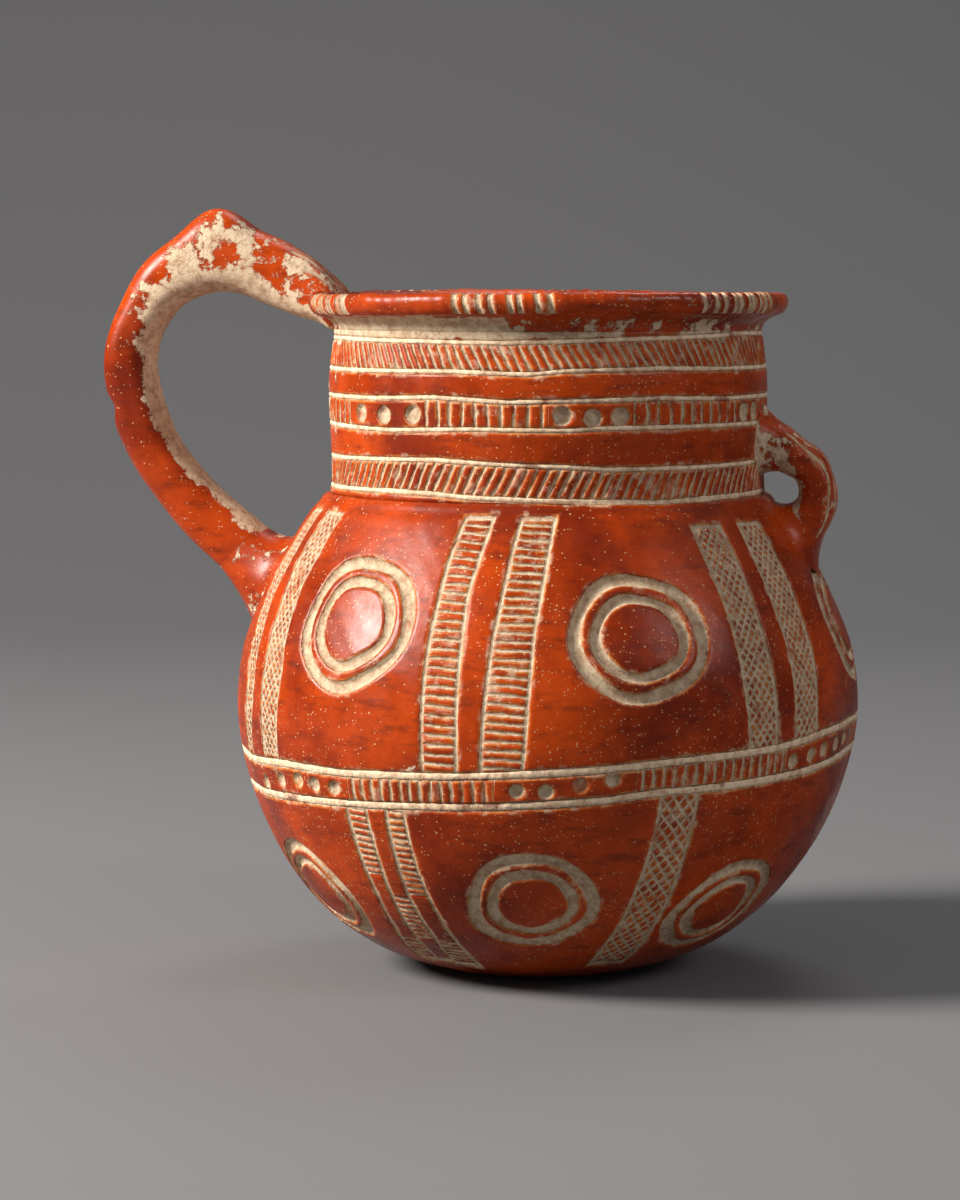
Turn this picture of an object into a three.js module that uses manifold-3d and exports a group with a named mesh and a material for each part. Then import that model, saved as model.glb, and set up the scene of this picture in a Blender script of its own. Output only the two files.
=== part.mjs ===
// A hand-built pottery tankard: round body, straight neck, everted lip, one high rod handle and one pierced string lug.
// Millimetres, +Z up. The origin is on the worn flat under the bowl, on the neck's axis. The handle stands towards -X, the lug +X.
import * as THREE from "three";
import { mergeVertices } from "three/addons/utils/BufferGeometryUtils.js";
import Module from "manifold-3d";

const wasm = await Module();
wasm.setup();

// Outside of the pot as radius and height, from the worn flat to under the lip, joined by one smooth curve.
const OUTLINE = [
  [25, 0], [35.5, 2.2], [48.5, 7], [62.2, 16.3], [73.2, 28.6], [82, 43.5], [87.8, 59], [90.3, 76], [88.5, 94],
  [81.6, 111.5], [74.4, 124.5], [68.7, 133.2], [64.4, 137.6], [62.9, 141.5], [62.9, 149], [63.4, 160], [63.6, 172],
  [62.4, 182], [62, 186],
];
// The lip's section, from its underside round the notched edge to the inside of the mouth.
const LIP = [
  [62, 186.5], [64.3, 189], [68.1, 191], [69.3, 193.4], [68.9, 195.6], [67.4, 196.5], [64.4, 196.2], [60.4, 193.6],
  [57.6, 189.8], [56.8, 186.5],
];
const FLOOR_THICKNESS = 7.5;
const BODY_THICKNESS = 6.2;
const NECK_THICKNESS = 5.2;
const GIRDLE_LOW = 59;
const GIRDLE_HIGH = 68;
const SHOULDER_TOP = 137.8;
const NECK_TOP = 186.3;
const TURN_STEPS = 40;

// Every face that meets another piece keeps this gap, the thickness of a dried slip joint.
const JOINT = 0.3;

// The lime rings lie in cuts this wide and deep, with a hair of room all round.
const NECK_LINES = [140.3, 149.2, 159, 167.2, 175, 184];
const NECK_LINE_WIDTH = 1.5;
const GIRDLE_LINE_WIDTH = 2.5;
const LINE_DEPTH = 1.2;
const LIME_CLEARANCE = 0.12;

// The foot of the pot stands a little to the handle's side of the neck's axis.
const LEAN = 2.2;
const LEAN_HEIGHT = 75;

// Middle line of the handle from inside the shoulder up and over to the lip, as x and z, with the rod's thickness there.
const HANDLE_PATH = [
  [-80.5, 111.4, 18.5], [-93.4, 122.8, 17.2], [-111.6, 139.9, 15.8], [-121.6, 158, 15.2], [-125.4, 175, 14.8],
  [-121.6, 189.4, 15.2], [-112.2, 201, 17.6], [-97, 206.4, 18.6], [-81.5, 202.6, 18.4], [-61, 191.8, 15],
];
const HANDLE_WIDTH = 19.5;
const HANDLE_END_WIDTH = 26;
const HANDLE_STEPS = 36;
const HANDLE_SIDES = 14;
const SPUR_HEIGHT = 6.3;
const SPUR_PLACE = 0.73;
const SPUR_REACH = 0.045;
const HANDLE_FOOT_EXTRA = 3;
const TENON_RADIUS = 5.5;
const TENON_START = [-91.5, 121.1];
const TENON_END = [-74.8, 106.1];

// Middle line of the string lug from the neck out and down to the shoulder, as x and z, with the strap's thickness.
const LUG_PATH = [
  [60.5, 158.6, 12], [69.4, 153, 9.6], [76.2, 147.4, 10.4], [78.8, 139.6, 11.2], [77.4, 131.8, 11.6], [71.5, 124.5, 14],
];
const LUG_WIDTH = 16;
const LUG_END_WIDTH = 19;
const LUG_STEPS = 20;
const LUG_SIDES = 12;
const LUG_HOLE_CENTRE = [68.7, 141.2];
const LUG_HOLE_RADII = [4.6, 5.7];

const CLAY = { color: 0x9c3a14, roughness: 0.45, metalness: 0 };
const INNER_CLAY = { color: 0xa8653f, roughness: 0.8, metalness: 0 };
const LIME = { color: 0xd9c8a8, roughness: 0.95, metalness: 0 };

// Removes collapsed triangles and doubled corners, and turns the faces outwards.
function closed(geometry) {
  const bare = geometry.clone();
  bare.deleteAttribute("normal");
  bare.deleteAttribute("uv");
  const merged = mergeVertices(bare, 1e-4);
  const at = merged.getAttribute("position");
  const index = merged.getIndex().array;
  const corner = [new THREE.Vector3(), new THREE.Vector3(), new THREE.Vector3()];
  const kept = [];
  let volume = 0;
  for (let i = 0; i < index.length; i += 3) {
    const [a, b, c] = [index[i], index[i + 1], index[i + 2]];
    if (a === b || b === c || c === a) continue;
    kept.push(a, b, c);
    [a, b, c].forEach((k, n) => corner[n].fromBufferAttribute(at, k));
    volume += corner[0].dot(corner[1].cross(corner[2]));
  }
  if (volume < 0) kept.reverse();
  merged.setIndex(kept);
  return merged;
}

function toSolid(geometry) {
  const shape = closed(geometry);
  const vertProperties = new Float32Array(shape.getAttribute("position").array);
  const triVerts = new Uint32Array(shape.getIndex().array);
  return new wasm.Manifold(new wasm.Mesh({ numProp: 3, vertProperties, triVerts }));
}

function toGeometry(solid) {
  const mesh = solid.getMesh();
  const geometry = new THREE.BufferGeometry();
  geometry.setAttribute("position", new THREE.BufferAttribute(mesh.vertProperties, 3));
  geometry.setIndex(new THREE.BufferAttribute(mesh.triVerts, 1));
  return geometry;
}

// Turns an outline of [radius, height] pairs about the pot's axis.
function turned(points) {
  const outline = points.map(([radius, height]) => new THREE.Vector2(Math.max(radius, 0), height));
  return new THREE.LatheGeometry(outline, TURN_STEPS).rotateX(Math.PI / 2);
}

// The outline between two heights, pushed out along its own normal by the given amount.
const outlineCurve = new THREE.SplineCurve(OUTLINE.map(([radius, height]) => new THREE.Vector2(radius, height)));

function outlineAt(height) {
  let low = 0;
  let high = 1;
  for (let i = 0; i < 40; i += 1) {
    const middle = (low + high) / 2;
    if (outlineCurve.getPoint(middle).y < height) low = middle;
    else high = middle;
  }
  return (low + high) / 2;
}

function stretch(fromHeight, toHeight, steps, push) {
  const start = outlineAt(fromHeight);
  const end = outlineAt(toHeight);
  return Array.from({ length: steps + 1 }, (_, i) => {
    const t = start + ((end - start) * i) / steps;
    const point = outlineCurve.getPoint(t);
    const along = outlineCurve.getTangent(t);
    return [point.x + along.y * push, point.y - along.x * push];
  });
}

function radiusAt(height) {
  return outlineCurve.getPoint(outlineAt(height)).x;
}

// The three corners of a narrow cut with sloping sides, from its lower edge to its upper edge.
function grooveCorners(height, width, depth) {
  const low = height - width / 2;
  const high = height + width / 2;
  return [[radiusAt(low), low], [radiusAt(height) - depth, height], [radiusAt(high), high]];
}

// The four corners of a wide cut with a flat floor, from its lower edge to its upper edge.
function cutCorners(height, width, depth) {
  const slope = 0.25;
  const low = height - width / 2;
  const high = height + width / 2;
  return [
    [radiusAt(low), low], [radiusAt(low) - depth, low + slope], [radiusAt(high) - depth, high - slope],
    [radiusAt(high), high],
  ];
}

// A point on the floor of a cut, where two coils meet behind the lime.
function seamAt(height) {
  return [radiusAt(height) - LINE_DEPTH, height];
}

// A closed ring between two heights: outside upwards, then back down the inside.
function ringWall(outside, inside) {
  return turned([...outside, ...inside.reverse(), outside[0]]);
}

function baseBowl() {
  const [low, floorLow] = cutCorners(GIRDLE_LOW, GIRDLE_LINE_WIDTH, LINE_DEPTH);
  const outside = stretch(0, low[1], 11, 0);
  const inside = stretch(7, GIRDLE_LOW, 7, -BODY_THICKNESS);
  const top = GIRDLE_LOW - JOINT / 2;
  const innerTop = [inside.at(-1)[0], top];
  const floor = [[0, FLOOR_THICKNESS], [22, FLOOR_THICKNESS + 0.4], ...inside.slice(0, -1), innerTop];
  return turned([[0, 0], ...outside, floorLow, seamAt(top), ...floor.reverse()]);
}

function girdleCoil() {
  const [, , floorLow, edgeLow] = cutCorners(GIRDLE_LOW, GIRDLE_LINE_WIDTH, LINE_DEPTH);
  const [edgeHigh, floorHigh] = cutCorners(GIRDLE_HIGH, GIRDLE_LINE_WIDTH, LINE_DEPTH);
  const bottom = GIRDLE_LOW + JOINT / 2;
  const top = GIRDLE_HIGH - JOINT / 2;
  const outside = [seamAt(bottom), floorLow, edgeLow, edgeHigh, floorHigh, seamAt(top)];
  const inside = [[radiusAt(GIRDLE_LOW) - BODY_THICKNESS, bottom], [radiusAt(GIRDLE_HIGH) - BODY_THICKNESS, top]];
  return ringWall(outside, inside);
}

function shoulderWall() {
  const [, , floor, edge] = cutCorners(GIRDLE_HIGH, GIRDLE_LINE_WIDTH, LINE_DEPTH);
  const bottom = GIRDLE_HIGH + JOINT / 2;
  const top = SHOULDER_TOP - JOINT / 2;
  const outside = [seamAt(bottom), floor, ...stretch(edge[1], top, 11, 0)];
  const inner = stretch(GIRDLE_HIGH, SHOULDER_TOP, 8, -BODY_THICKNESS).slice(1, -1);
  const inside = [[radiusAt(GIRDLE_HIGH) - BODY_THICKNESS, bottom], ...inner, [radiusAt(top) - BODY_THICKNESS, top]];
  return toGeometry(toSolid(ringWall(outside, inside)).subtract(tenon(JOINT)));
}

function neckCollar() {
  const bottom = SHOULDER_TOP + JOINT / 2;
  const top = NECK_TOP - JOINT / 2;
  const cuts = NECK_LINES.flatMap((height) => grooveCorners(height, NECK_LINE_WIDTH, LINE_DEPTH));
  const outside = [[radiusAt(bottom), bottom], ...cuts, [radiusAt(top), top]];
  const inner = [142, 156, 172].map((height) => [radiusAt(height) - NECK_THICKNESS, height]);
  const inside = [[radiusAt(bottom) - BODY_THICKNESS, bottom], ...inner, [radiusAt(top) - NECK_THICKNESS, top]];
  return ringWall(outside, inside);
}

function rimLip() {
  return turned([...LIP, LIP[0]]);
}

// A ring of lime that fills a narrow groove up to the burnished surface.
function neckLime(height) {
  const [low, floor, high] = grooveCorners(height, NECK_LINE_WIDTH - 2 * LIME_CLEARANCE, LINE_DEPTH - 2 * LIME_CLEARANCE);
  return turned([low, high, floor, low]);
}

// A ring of lime that fills a wide cut and hides the joint between two coils.
function girdleLime(height) {
  const [low, floorLow, floorHigh, high] = cutCorners(
    height, GIRDLE_LINE_WIDTH - 2 * LIME_CLEARANCE, LINE_DEPTH - LIME_CLEARANCE);
  return turned([low, high, floorHigh, floorLow, low]);
}

// Carries a rounded square section along a middle line in the plane of the handle and lug. A row of path holds x, z and
// the thickness; wide gives the width and lift the extra height of the outer half at a place 0 to 1 along the line.
function carried(path, steps, sides, grow, wide, lift) {
  const curve = new THREE.CatmullRomCurve3(path.map(([x, z, t]) => new THREE.Vector3(x, t, z)), false, "centripetal");
  const across = new THREE.Vector3(0, 1, 0);
  const positions = [];
  const index = [];
  for (let i = 0; i <= steps; i += 1) {
    const place = i / steps;
    const middle = curve.getPoint(place);
    const thickness = middle.y;
    const tangent = curve.getTangent(place);
    tangent.y = 0;
    tangent.normalize();
    const out = new THREE.Vector3().crossVectors(tangent, across);
    for (let k = 0; k < sides; k += 1) {
      const angle = (2 * Math.PI * (k + 0.5)) / sides;
      const square = (value) => Math.sign(value) * Math.abs(value) ** 0.65;
      const up = square(Math.sin(angle));
      const side = square(Math.cos(angle)) * (wide(place) / 2 + grow);
      const height = up * (thickness / 2 + grow) + Math.max(up, 0) * lift(place) * (1 - 0.5 * Math.abs(side / wide(place)));
      positions.push(middle.x + out.x * height, side, middle.z + out.z * height);
    }
  }
  for (let i = 0; i < steps; i += 1) {
    for (let k = 0; k < sides; k += 1) {
      const [a, b] = [i * sides + k, i * sides + ((k + 1) % sides)];
      index.push(a, b, a + sides, b, b + sides, a + sides);
    }
  }
  const last = steps * sides;
  for (let k = 1; k < sides - 1; k += 1) {
    index.push(0, k + 1, k, last, last + k, last + k + 1);
  }
  const geometry = new THREE.BufferGeometry();
  geometry.setAttribute("position", new THREE.Float32BufferAttribute(positions, 3));
  geometry.setIndex(index);
  return geometry;
}

// Width of the handle: even along the rod, wider where it spreads onto the lip and where it meets the shoulder.
function handleWidth(place) {
  const spread = THREE.MathUtils.smoothstep(place, 0.8, 1);
  const foot = 1 - THREE.MathUtils.smoothstep(place, 0, 0.16);
  return HANDLE_WIDTH + (HANDLE_END_WIDTH - HANDLE_WIDTH) * spread + HANDLE_FOOT_EXTRA * foot;
}

function spurLift(place) {
  return SPUR_HEIGHT * Math.exp(-(((place - SPUR_PLACE) / SPUR_REACH) ** 2));
}

function rod(grow) {
  return toSolid(carried(HANDLE_PATH, HANDLE_STEPS, HANDLE_SIDES, grow, handleWidth, spurLift));
}

// The peg at the handle's foot that is pushed through the shoulder.
function tenon(grow) {
  const start = new THREE.Vector3(TENON_START[0], 0, TENON_START[1]);
  const end = new THREE.Vector3(TENON_END[0], 0, TENON_END[1]);
  const length = start.distanceTo(end) + grow;
  const peg = new THREE.CylinderGeometry(TENON_RADIUS + grow, TENON_RADIUS + grow, length, 16);
  const direction = end.clone().sub(start).normalize();
  const turn = new THREE.Quaternion().setFromUnitVectors(new THREE.Vector3(0, 1, 0), direction);
  const middle = start.clone().addScaledVector(direction, length / 2);
  return toSolid(peg.applyQuaternion(turn).translate(middle.x, middle.y, middle.z));
}

// Everything inside the pot's outer skin, a joint's width larger all round.
function potEnvelope() {
  const body = stretch(0, OUTLINE.at(-1)[1], 34, JOINT);
  const lip = LIP.slice(0, 7).map(([radius, height]) => {
    const from = new THREE.Vector2(radius - 64, height - 192).normalize();
    return [radius + from.x * JOINT, height + from.y * JOINT];
  });
  const inner = LIP.slice(7).map(([radius, height]) => [radius - JOINT, height + JOINT]);
  const throat = [56.2, 150];
  return toSolid(turned([[0, 0], ...body, ...lip, ...inner, throat, [0, 150]]));
}

// The hollow of the pot, a joint's width smaller all round.
function potHollow() {
  const inside = stretch(12, 136, 20, -BODY_THICKNESS - JOINT);
  return toSolid(turned([[0, inside[0][1]], ...inside, [0, 136]]));
}

// A flattened lump of clay: an ellipsoid at x and z, its short radius along a direction leaning by the given angle.
function lump(x, z, radii, lean) {
  const shape = new THREE.SphereGeometry(1, 18, 10).scale(...radii).rotateY(lean).translate(x, 0, z);
  return toSolid(shape);
}

const envelope = potEnvelope();

function handle() {
  return toGeometry(rod(0).subtract(envelope).add(tenon(0)));
}

function handleFootLute() {
  const collar = lump(-80.8, 115, [6.2, 17.5, 16], THREE.MathUtils.degToRad(29));
  return toGeometry(collar.subtract(envelope).subtract(rod(JOINT)).subtract(tenon(JOINT)));
}

function handleRimLute() {
  const saddle = lump(-63.5, 195.4, [10.5, 30, 5.4], THREE.MathUtils.degToRad(-14));
  return toGeometry(saddle.subtract(envelope).subtract(rod(JOINT)));
}

function tenonPad() {
  const pad = lump(-76.4, 107.6, [5.6, 13.5, 13.5], THREE.MathUtils.degToRad(24));
  return toGeometry(pad.intersect(potHollow()).subtract(tenon(JOINT)));
}

// Width of the lug: even round the string hole, wider where it spreads onto the wall.
function lugWidth(place) {
  return LUG_WIDTH + (LUG_END_WIDTH - LUG_WIDTH) * Math.abs(2 * place - 1) ** 2;
}

function lugStrap(grow) {
  return toSolid(carried(LUG_PATH, LUG_STEPS, LUG_SIDES, grow, lugWidth, () => 0));
}

// The string hole, an upright oval along Y.
function stringHole() {
  const [across, up] = LUG_HOLE_RADII;
  const hole = new THREE.CylinderGeometry(1, 1, 2 * LUG_WIDTH, 20).scale(across, 1, up);
  return toSolid(hole.translate(LUG_HOLE_CENTRE[0], 0, LUG_HOLE_CENTRE[1]));
}

function stringLug() {
  return toGeometry(lugStrap(0).subtract(envelope).subtract(stringHole()));
}

function lugNeckLute() {
  const collar = lump(63.9, 156.2, [4.6, 13.5, 10.5], 0);
  return toGeometry(collar.subtract(envelope).subtract(lugStrap(JOINT)).subtract(stringHole()));
}

function lugShoulderLute() {
  const collar = lump(73.6, 126, [5.4, 14, 11.5], THREE.MathUtils.degToRad(-29));
  return toGeometry(collar.subtract(envelope).subtract(lugStrap(JOINT)).subtract(stringHole()));
}

// Shifts the lower body towards the handle, more towards the foot.
function leaned(geometry) {
  const at = geometry.getAttribute("position");
  for (let i = 0; i < at.count; i += 1) {
    const below = Math.min(Math.max(1 - at.getZ(i) / LEAN_HEIGHT, 0), 1);
    at.setX(i, at.getX(i) - LEAN * below ** 1.5);
  }
  return geometry;
}

const group = new THREE.Group();

function place(name, geometry, look) {
  const mesh = new THREE.Mesh(leaned(closed(geometry)), new THREE.MeshStandardMaterial(look));
  mesh.name = name;
  group.add(mesh);
}

place("base_bowl", baseBowl(), CLAY);
place("girdle_coil", girdleCoil(), CLAY);
place("shoulder_wall", shoulderWall(), CLAY);
place("neck_collar", neckCollar(), CLAY);
place("rim_lip", rimLip(), CLAY);
place("handle", handle(), CLAY);
place("handle_foot_lute", handleFootLute(), CLAY);
place("handle_rim_lute", handleRimLute(), CLAY);
place("tenon_pad", tenonPad(), INNER_CLAY);
place("string_lug", stringLug(), CLAY);
place("lug_neck_lute", lugNeckLute(), CLAY);
place("lug_shoulder_lute", lugShoulderLute(), CLAY);
NECK_LINES.forEach((height, i) => place(`neck_inlay_${i + 1}`, neckLime(height), LIME));
place("girdle_inlay_lower", girdleLime(GIRDLE_LOW), LIME);
place("girdle_inlay_upper", girdleLime(GIRDLE_HIGH), LIME);

export default group;
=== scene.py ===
import math

import bpy
import numpy as np
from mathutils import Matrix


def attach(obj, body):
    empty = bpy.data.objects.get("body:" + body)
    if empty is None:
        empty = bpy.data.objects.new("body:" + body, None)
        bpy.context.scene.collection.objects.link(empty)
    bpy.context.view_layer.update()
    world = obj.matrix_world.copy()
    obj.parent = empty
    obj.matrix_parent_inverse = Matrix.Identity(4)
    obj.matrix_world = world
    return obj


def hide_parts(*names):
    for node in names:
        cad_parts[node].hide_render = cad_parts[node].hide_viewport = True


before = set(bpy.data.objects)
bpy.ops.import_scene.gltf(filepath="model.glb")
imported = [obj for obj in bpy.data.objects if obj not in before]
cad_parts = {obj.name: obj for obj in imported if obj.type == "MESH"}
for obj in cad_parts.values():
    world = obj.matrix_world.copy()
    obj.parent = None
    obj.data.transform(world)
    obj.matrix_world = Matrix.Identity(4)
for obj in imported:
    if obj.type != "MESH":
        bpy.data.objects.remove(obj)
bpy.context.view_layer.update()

# Camera
# It stands where the photograph was taken: ten degrees towards the lug from the pot's front, and a little
# above the rim. Lengths are metres here.
VIEW_AZIMUTH = math.radians(10)
VIEW_DISTANCE = 1.120
VIEW_HEIGHT = 0.203
VIEW_PITCH = math.radians(4.91)
VIEW_YAW = math.radians(1.01)
LENS = 115.5
VIEW_REACH = 20

camera = bpy.data.objects.new("camera", bpy.data.cameras.new("camera"))
bpy.context.scene.collection.objects.link(camera)
camera.data.lens = LENS
camera.data.clip_end = VIEW_REACH
camera.location = (
    VIEW_DISTANCE * math.sin(VIEW_AZIMUTH), -VIEW_DISTANCE * math.cos(VIEW_AZIMUTH), VIEW_HEIGHT)
camera.rotation_euler = (math.pi / 2 - VIEW_PITCH, 0, VIEW_AZIMUTH + VIEW_YAW)
bpy.context.scene.camera = camera
bpy.context.scene.view_settings.view_transform = "Standard"

# Floor and backdrop
# One grey sheet that runs back along the floor, turned to face the camera, and sweeps up behind the jar.
SWEEP_BACK = 2.2
SWEEP_RADIUS = 1.2
SWEEP_STEPS = 24
SWEEP_HEIGHT = 3.0
SWEEP_HALF_WIDTH = 14.0
SWEEP_FRONT = -14.0
SWEEP_GREY = (0.150, 0.150, 0.157, 1)
SWEEP_ROUGHNESS = 0.8

arc = np.linspace(0, math.pi / 2, SWEEP_STEPS)
sweep_y = np.concatenate(
    [[SWEEP_FRONT], SWEEP_BACK - SWEEP_RADIUS + SWEEP_RADIUS * np.sin(arc), [SWEEP_BACK]])
sweep_z = np.concatenate([[0.0], SWEEP_RADIUS - SWEEP_RADIUS * np.cos(arc), [SWEEP_HEIGHT]])
view_cos, view_sin = math.cos(VIEW_AZIMUTH), math.sin(VIEW_AZIMUTH)
turn = np.array([[view_cos, -view_sin], [view_sin, view_cos]])
sweep = []
for side in (-SWEEP_HALF_WIDTH, SWEEP_HALF_WIDTH):
    flat = turn @ np.stack([np.full_like(sweep_y, side), sweep_y])
    sweep.append(np.stack([flat[0], flat[1], sweep_z], axis=1))
count = len(sweep_y)
sweep_faces = [(i, i + count, i + count + 1, i + 1) for i in range(count - 1)]
sweep_mesh = bpy.data.meshes.new("floor")
sweep_mesh.from_pydata(np.concatenate(sweep).tolist(), [], sweep_faces)
sweep_mesh.polygons.foreach_set("use_smooth", [True] * len(sweep_faces))
floor = bpy.data.objects.new("floor", sweep_mesh)
bpy.context.scene.collection.objects.link(floor)
sweep_look = bpy.data.materials.new("studio_grey")
sweep_look.use_nodes = True
sweep_shader = sweep_look.node_tree.nodes["Principled BSDF"]
sweep_shader.inputs["Base Color"].default_value = SWEEP_GREY
sweep_shader.inputs["Roughness"].default_value = SWEEP_ROUGHNESS
sweep_mesh.materials.append(sweep_look)

# Lights
# A large soft lamp to the upper left, a weaker one to the right, one above and behind, and even light all
# round. Each lamp has a place, the width of its disk, its power in watts and its tint.
WORLD_STRENGTH = 0.19
LAMPS = [
    ("key", (-1.25, -0.62, 1.0), 0.6, 64, (1.0, 0.95, 0.88)),
    ("side", (1.15, -0.45, 0.85), 0.45, 4.5, (1.0, 0.95, 0.97)),
    ("top_back", (0.2, 0.9, 1.5), 0.7, 6, (1.0, 1.0, 1.0)),
]
JAR_MIDDLE = np.array([0, 0, 0.11])

world = bpy.data.worlds.new("studio")
world.use_nodes = True
world.node_tree.nodes["Background"].inputs["Color"].default_value = (1, 1, 1, 1)
world.node_tree.nodes["Background"].inputs["Strength"].default_value = WORLD_STRENGTH
bpy.context.scene.world = world
for name, place, size, power, tint in LAMPS:
    lamp = bpy.data.lights.new(name, "AREA")
    lamp.shape = "DISK"
    lamp.size = size
    lamp.energy = power
    lamp.color = tint
    lamp_object = bpy.data.objects.new(name, lamp)
    lamp_object.location = place
    aim = JAR_MIDDLE - np.array(place)
    lamp_object.rotation_euler = (math.acos(-aim[2] / np.linalg.norm(aim)), 0, math.atan2(-aim[0], aim[1]))
    bpy.context.scene.collection.objects.link(lamp_object)

# Bowl
# The round bottom up to the lower girdle line, pinched from one lump of clay, slipped red, burnished and
# incised. Sizes are millimetres until a mesh is made, and angles are degrees from the front (-Y) towards
# the lug (+X).
MM = 0.001

# Radius and height up the outside, from the edge of the worn flat to the top of the neck.
OUTLINE = np.array([
    (25, 0), (35.5, 2.2), (48.5, 7), (62.2, 16.3), (73.2, 28.6), (82, 43.5), (87.8, 59), (90.3, 76),
    (88.5, 94), (81.6, 111.5), (74.4, 124.5), (68.7, 133.2), (64.4, 137.6), (62.9, 141.5), (62.9, 149),
    (63.4, 160), (63.6, 172), (62.4, 182), (62, 186)], float)
OUTLINE_SAMPLES = 4000
TANGENT_STEP = 0.5

# The foot leans this far towards the handle, and the lean fades out at LEAN_HEIGHT.
LEAN = 2.2
LEAN_HEIGHT = 75
LEAN_POWER = 1.5
BODY_THICKNESS = 6.2
NECK_THICKNESS = 5.2
FLOOR_THICKNESS = 7.5
COLUMNS = 720

# FAR stands for no cut nearby, and PLAIN_PITCH for no strokes.
FAR = 9.0
PLAIN_PITCH = 99.0


def smooth_path(points, samples):
    """Catmull-Rom curve through the points.

    It is a cubic in each span, whose slope at a point is half the step between that point's neighbours.
    """
    points = np.asarray(points, float)
    ends = np.concatenate([[2 * points[0] - points[1]], points, [2 * points[-1] - points[-2]]])
    t = np.linspace(0, len(points) - 1, samples)
    k = np.minimum(t.astype(int), len(points) - 2)
    f = (t - k)[:, None]
    a, b, c, d = ends[k], ends[k + 1], ends[k + 2], ends[k + 3]
    return 0.5 * (2 * b + (c - a) * f + (2 * a - 5 * b + 4 * c - d) * f ** 2
                  + (3 * b - a - 3 * c + d) * f ** 3)


skin = smooth_path(OUTLINE, OUTLINE_SAMPLES)
skin_r, skin_z = skin[:, 0], np.maximum.accumulate(skin[:, 1])
skin_s = np.concatenate([[0], np.cumsum(np.hypot(np.diff(skin_r), np.diff(skin_z)))])


def radius_at(z):
    """Outer radius at a height."""
    return np.interp(z, skin_z, skin_r)


def along_at(z):
    """Length along the outline from the worn flat up to a height."""
    return np.interp(z, skin_z, skin_s)


def around(psi, centre):
    """Signed angle from a centre, in -180 to 180 degrees."""
    return (psi - centre + 180) % 360 - 180


def step_up(low, high, x):
    """Smooth step: 0 below low, 1 above high, three t squared less two t cubed between."""
    t = np.clip((x - low) / (high - low), 0, 1)
    return t * t * (3 - 2 * t)


def hand(psi, z, seed):
    """Slow unevenness of hand work, -1 to 1: a sum of five waves round and up the pot."""
    a = np.radians(psi)
    return (np.sin(3 * a + 0.031 * z + seed) + np.sin(7 * a - 0.052 * z + 2.1 * seed)
            + np.sin(13 * a + 0.085 * z * seed) + np.sin(0.11 * z + 2 * a + seed)
            + np.sin(23 * a + 0.21 * z + 3 * seed)) / 5


# The six neck lines and the two girdle lines, each as angle and height round the pot, and half their width.
NECK_LINES = [
    [(-180, 140.6), (-60, 141), (-35, 141.3), (-20, 141), (-10, 140.2), (10, 139.6), (40, 138.9),
     (60, 139.5), (180, 140.6)],
    [(-180, 149.2), (-60, 149.5), (-20, 150.3), (0, 149.2), (15, 148.7), (25, 148), (50, 148), (70, 148.2),
     (180, 149.2)],
    [(-180, 159), (-65, 158.8), (-35, 158.2), (-10, 159), (15, 158.8), (25, 159.4), (50, 159.5), (180, 159)],
    [(-180, 167), (-70, 167), (-40, 167), (-20, 167.7), (0, 166.5), (20, 167), (40, 167.5), (60, 167),
     (180, 167)],
    [(-180, 175), (-50, 174.7), (-15, 174.9), (5, 174.2), (15, 175.2), (40, 175.8), (60, 175.4), (180, 175)],
    [(-180, 183.6), (-60, 183.5), (-20, 183), (0, 182.8), (30, 183.8), (60, 184.5), (70, 185), (180, 183.6)],
]
GIRDLE_UPPER = [(-180, 68.5), (-60, 63.7), (-45, 65), (-30, 64.7), (-5, 66), (15, 67.8), (35, 70),
                (55, 71.2), (70, 73.6), (85, 74.6), (130, 72.5), (180, 68.5)]
GIRDLE_LOWER = [(-180, 59), (-60, 54.5), (-40, 55.5), (-20, 56.5), (0, 57.7), (20, 59.6), (30, 61.3),
                (45, 62), (65, 63.4), (85, 66), (130, 63.5), (180, 59)]
NECK_HALF = 0.75
GIRDLE_HALF = 1.25


def line_height(line, psi):
    """Height of a line at an angle, straight between its points."""
    psis, heights = np.array(line, float).T
    return np.interp(around(psi, 0), psis, heights)


# Upright bands: left rail and right rail as (angle, height), the heights with rungs, kind and pitch.
LATTICE, LADDER = "lattice", "ladder"
BAND_A1 = ([(-62.5, 66), (-62.5, 85), (-65, 100), (-69, 110), (-70, 134)],
           [(-60, 66), (-58.5, 85), (-60, 100), (-63, 110), (-62.5, 134)], [(66, 134)], LATTICE, 3.3)
BAND_A2 = ([(-53.5, 66), (-53.5, 90), (-55, 104), (-57.5, 120), (-56.5, 134)],
           [(-48, 66), (-47, 91), (-49.5, 107), (-50, 115), (-48.5, 134)], [(66, 134)], LATTICE, 3.3)
BAND_B1 = ([(-12.3, 66), (-12.3, 85), (-12, 105), (-11, 125), (-9.5, 135)],
           [(-6, 66), (-6, 85), (-5.8, 115), (-4.5, 125), (-2.7, 135)], [(66, 135)], LADDER, 2.65)
BAND_B2 = ([(-1.7, 66), (-1, 85), (0.2, 105), (2.3, 125), (4, 135)],
           [(5.6, 66), (6.3, 80), (7.5, 105), (10, 125), (11.7, 135)], [(66, 135)], LADDER, 2.5)
BAND_C1 = ([(48.5, 66), (48, 80), (47.3, 90), (46.8, 110), (45, 131)],
           [(55, 66), (54.8, 77), (54, 95), (54, 125), (53.5, 131)], [(66, 132)], LATTICE, 3.3)
BAND_C2 = ([(60, 66), (60, 131)],
           [(66.5, 66), (66.5, 75), (66.7, 85), (68, 110), (68.5, 133)], [(66, 132)], LATTICE, 3.3)
BAND_D1 = ([(-33, 8), (-30, 18), (-29.3, 28), (-29.5, 56)],
           [(-25, 8), (-25, 56)], [(5, 16), (35, 56)], LADDER, 2.1)
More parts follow.
